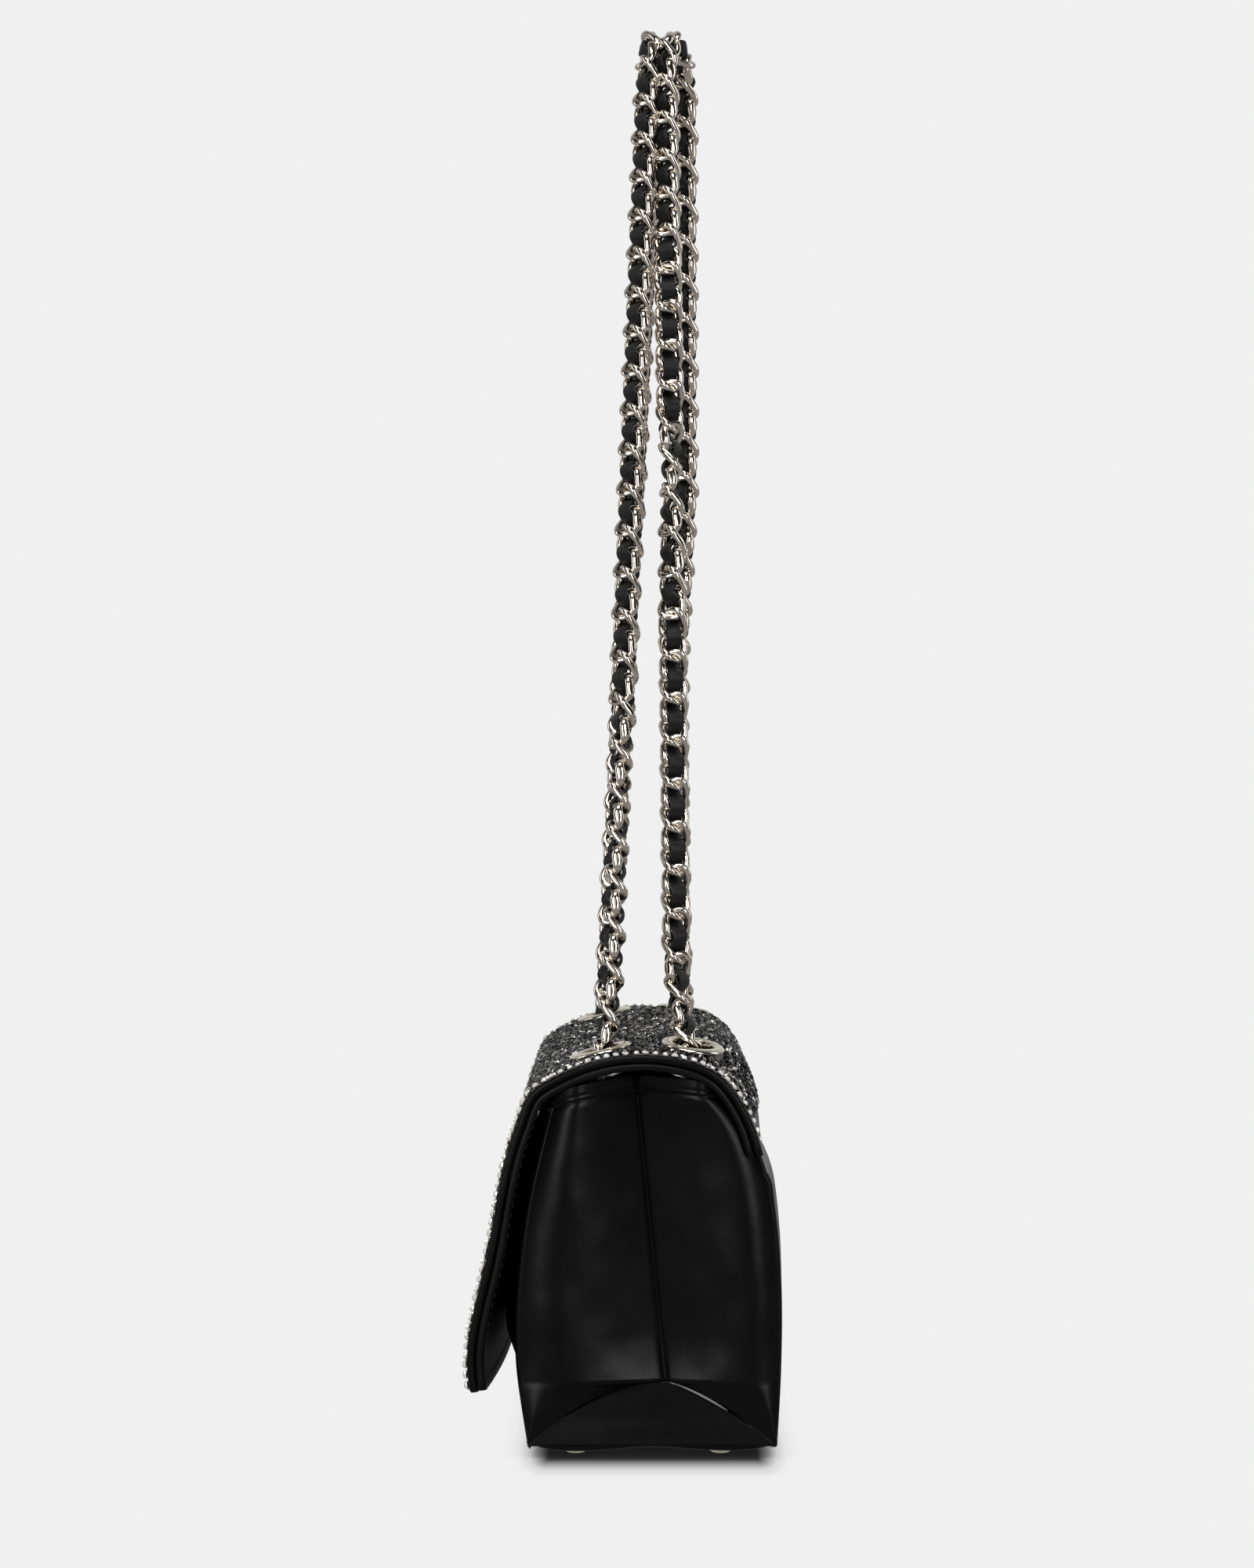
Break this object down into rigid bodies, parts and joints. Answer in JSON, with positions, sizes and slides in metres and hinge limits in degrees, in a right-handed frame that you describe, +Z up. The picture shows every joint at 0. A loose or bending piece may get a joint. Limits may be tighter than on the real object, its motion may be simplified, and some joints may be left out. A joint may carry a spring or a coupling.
{
  "type": "evening bag",
  "caption": "Small satin evening bag with folded side gussets, a crystal-covered magnetic flap and a doubled chain strap woven with ribbon, on small domed feet.",
  "frame": {"origin": "centre of the bag's footprint, midway between the flap's lowest edge and the back, on the plane the feet stand on", "axes": "+Z up along the raised strap, +X along the bag's length towards its right end, -Y towards the front, where the flap closes"},
  "size_m": [0.2, 0.0943, 0.446],
  "materials": {
    "satin": "black duchess satin over board, soft sheen",
    "flap_underside_satin": "black satin facing, turned edge",
    "lining_cloth": "matt twill",
    "board": "grey-brown millboard",
    "crystal": "faceted black-diamond and clear glass stones, foiled",
    "pale_gold": "polished pale gold plate",
    "chain_metal": "polished champagne plate",
    "plated_steel": "nickel plate",
    "ribbon": "black ribbed satin ribbon"
  },
  "bodies": {
    "bag_body": {"front_panel": "satin", "back_panel": "satin", "base_panel": "satin", "base_board": "board", "side_gusset_right": "satin", "side_gusset_left": "satin", "lining": "lining_cloth", "foot_front_right": "pale_gold", "foot_front_left": "pale_gold", "foot_back_right": "pale_gold", "foot_back_left": "pale_gold", "foot_washers": "plated_steel", "tail_cover": "satin", "tail_lining": "flap_underside_satin", "tail_crystals": "crystal", "snap_socket": "plated_steel", "snap_socket_washer": "plated_steel"},
    "flap": {"flap_cover": "satin", "flap_lining": "flap_underside_satin", "flap_crystals": "crystal", "eyelet_front_right": "pale_gold", "eyelet_washer_front_right": "plated_steel", "eyelet_front_left": "pale_gold", "eyelet_washer_front_left": "plated_steel", "eyelet_back_right": "pale_gold", "eyelet_washer_back_right": "plated_steel", "eyelet_back_left": "pale_gold", "eyelet_washer_back_left": "plated_steel", "snap_stud": "plated_steel", "snap_stud_washer": "plated_steel", "strap_inner_links": "chain_metal", "strap_lead_ribbon": "ribbon"},
    "front_strap_lower": {"front_lower_links": "chain_metal", "front_lower_ribbon": "ribbon"},
    "front_strap_middle": {"front_middle_links": "chain_metal", "front_middle_ribbon": "ribbon"},
    "front_strap_upper": {"front_upper_links": "chain_metal", "front_upper_ribbon": "ribbon"},
    "back_strap_lower": {"back_lower_links": "chain_metal", "back_lower_ribbon": "ribbon"},
    "back_strap_middle": {"back_middle_links": "chain_metal", "back_middle_ribbon": "ribbon"},
    "back_strap_upper": {"back_upper_links": "chain_metal", "back_upper_ribbon": "ribbon"}
  },
  "joints": [
    {"name": "flap_hinge", "type": "hinge", "parent": "bag_body", "child": "flap", "pos_m": [0, 0.0286, 0.1138], "axis": [-1, 0, 0], "range_deg": [0, 110]},
    {"name": "strap_fold", "type": "hinge", "parent": "flap", "child": "front_strap_lower", "pos_m": [0, -0.00559, 0.12732], "axis": [-1, 0, 0], "range_deg": [-90, 0]},
    {"name": "front_middle_bend", "type": "hinge", "parent": "front_strap_lower", "child": "front_strap_middle", "pos_m": [0, -0.0039, 0.16703], "axis": [-1, 0, 0], "range_deg": [-85, 0]},
    {"name": "front_upper_bend", "type": "hinge", "parent": "front_strap_middle", "child": "front_strap_upper", "pos_m": [0, 0.00118, 0.28616], "axis": [-1, 0, 0], "range_deg": [0, 85]},
    {"name": "back_fold", "type": "hinge", "parent": "flap", "child": "back_strap_lower", "pos_m": [0, 0.02038, 0.14058], "axis": [-1, 0, 0], "range_deg": [-90, 0]},
    {"name": "back_middle_bend", "type": "hinge", "parent": "back_strap_lower", "child": "back_strap_middle", "pos_m": [0, 0.01975, 0.22006], "axis": [-1, 0, 0], "range_deg": [-85, 0]},
    {"name": "back_upper_bend", "type": "hinge", "parent": "back_strap_middle", "child": "back_strap_upper", "pos_m": [0, 0.01881, 0.33929], "axis": [-1, 0, 0], "range_deg": [0, 85]}
  ],
  "couplings": [
    {"joint": "front_middle_bend", "follows": "strap_fold", "ratio": 0.94443},
    {"joint": "front_upper_bend", "follows": "strap_fold", "ratio": -0.94443},
    {"joint": "back_fold", "follows": "strap_fold", "ratio": 1},
    {"joint": "back_middle_bend", "follows": "strap_fold", "ratio": 0.94443},
    {"joint": "back_upper_bend", "follows": "strap_fold", "ratio": -0.94443}
  ]
}
